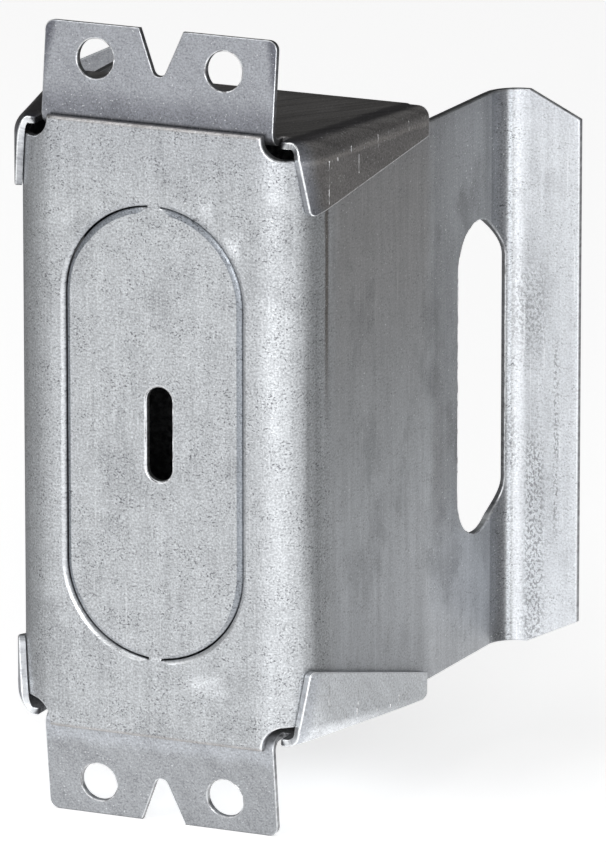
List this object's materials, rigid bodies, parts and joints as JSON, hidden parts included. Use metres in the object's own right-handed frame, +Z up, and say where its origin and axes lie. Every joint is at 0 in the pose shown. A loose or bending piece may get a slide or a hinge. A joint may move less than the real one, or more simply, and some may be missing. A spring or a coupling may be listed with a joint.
{
  "type": "concrete insert",
  "caption": "Galvanised sheet-steel concrete insert: flared box with a sheared oval knock-out, slotted walls, anchor wings and a closing strap with notched nailing flanges.",
  "frame": {"origin": "centre of the front panel's outer face, the face that lies against the form", "axes": "+Z up along the panel's height, +Y from the panel into the concrete, so the front panel faces -Y"},
  "size_m": [0.0938, 0.0654, 0.1316],
  "materials": {
    "galvanised_body": "mill galvanised, fine grey spangle",
    "galvanised_strap": "mill galvanised, fine grey spangle"
  },
  "bodies": {
    "root": {"insert_body": "galvanised_body", "closing_strap": "galvanised_strap"}
  },
  "joints": []
}
